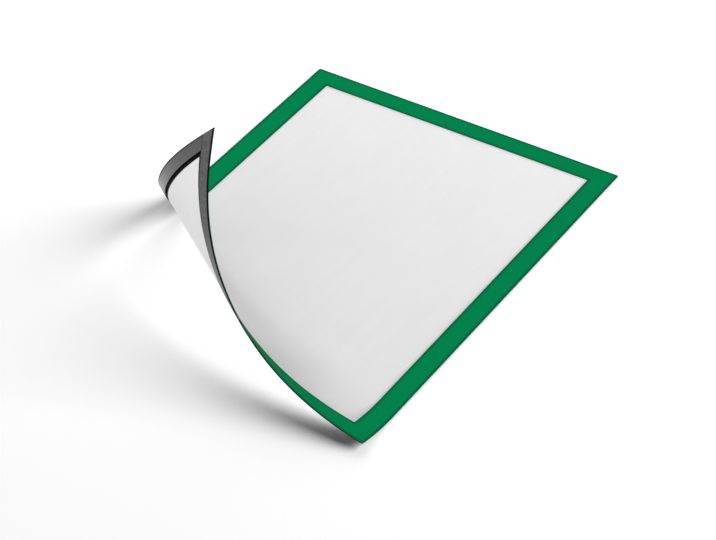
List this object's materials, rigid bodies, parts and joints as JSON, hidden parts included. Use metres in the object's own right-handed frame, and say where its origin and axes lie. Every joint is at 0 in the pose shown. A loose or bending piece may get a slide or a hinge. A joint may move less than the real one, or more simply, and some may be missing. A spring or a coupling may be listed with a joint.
{
  "type": "magnetic display frame",
  "caption": "Flexible magnetic frame for a sheet of paper: clear film with a green border and a magnetic band on its back, lying flat with a corner peeled up and curled over.",
  "frame": {"origin": "on the ground plane, under the middle of the frame's bounding box, the curled corner included", "axes": "+X across the frame to its right edge, +Y along the frame to its top edge, +Z out of its face"},
  "size_m": [0.2364, 0.3226, 0.1155],
  "materials": {
    "border_film": "satin opaque green film, black on its back",
    "clear_film": "matt clear film, milky to look at, that lets most light pass",
    "adhesive": "pale transfer tape",
    "magnetic_rubber": "smooth grey-black magnetic rubber with a soft sheen"
  },
  "bodies": {
    "root": {"border_film": "border_film", "window_film": "clear_film", "tape_top": "adhesive", "tape_bottom": "adhesive", "tape_left": "adhesive", "tape_right": "adhesive", "magnet_strip_top": "magnetic_rubber", "magnet_strip_bottom": "magnetic_rubber", "magnet_strip_left": "magnetic_rubber", "magnet_strip_right": "magnetic_rubber"}
  },
  "joints": []
}
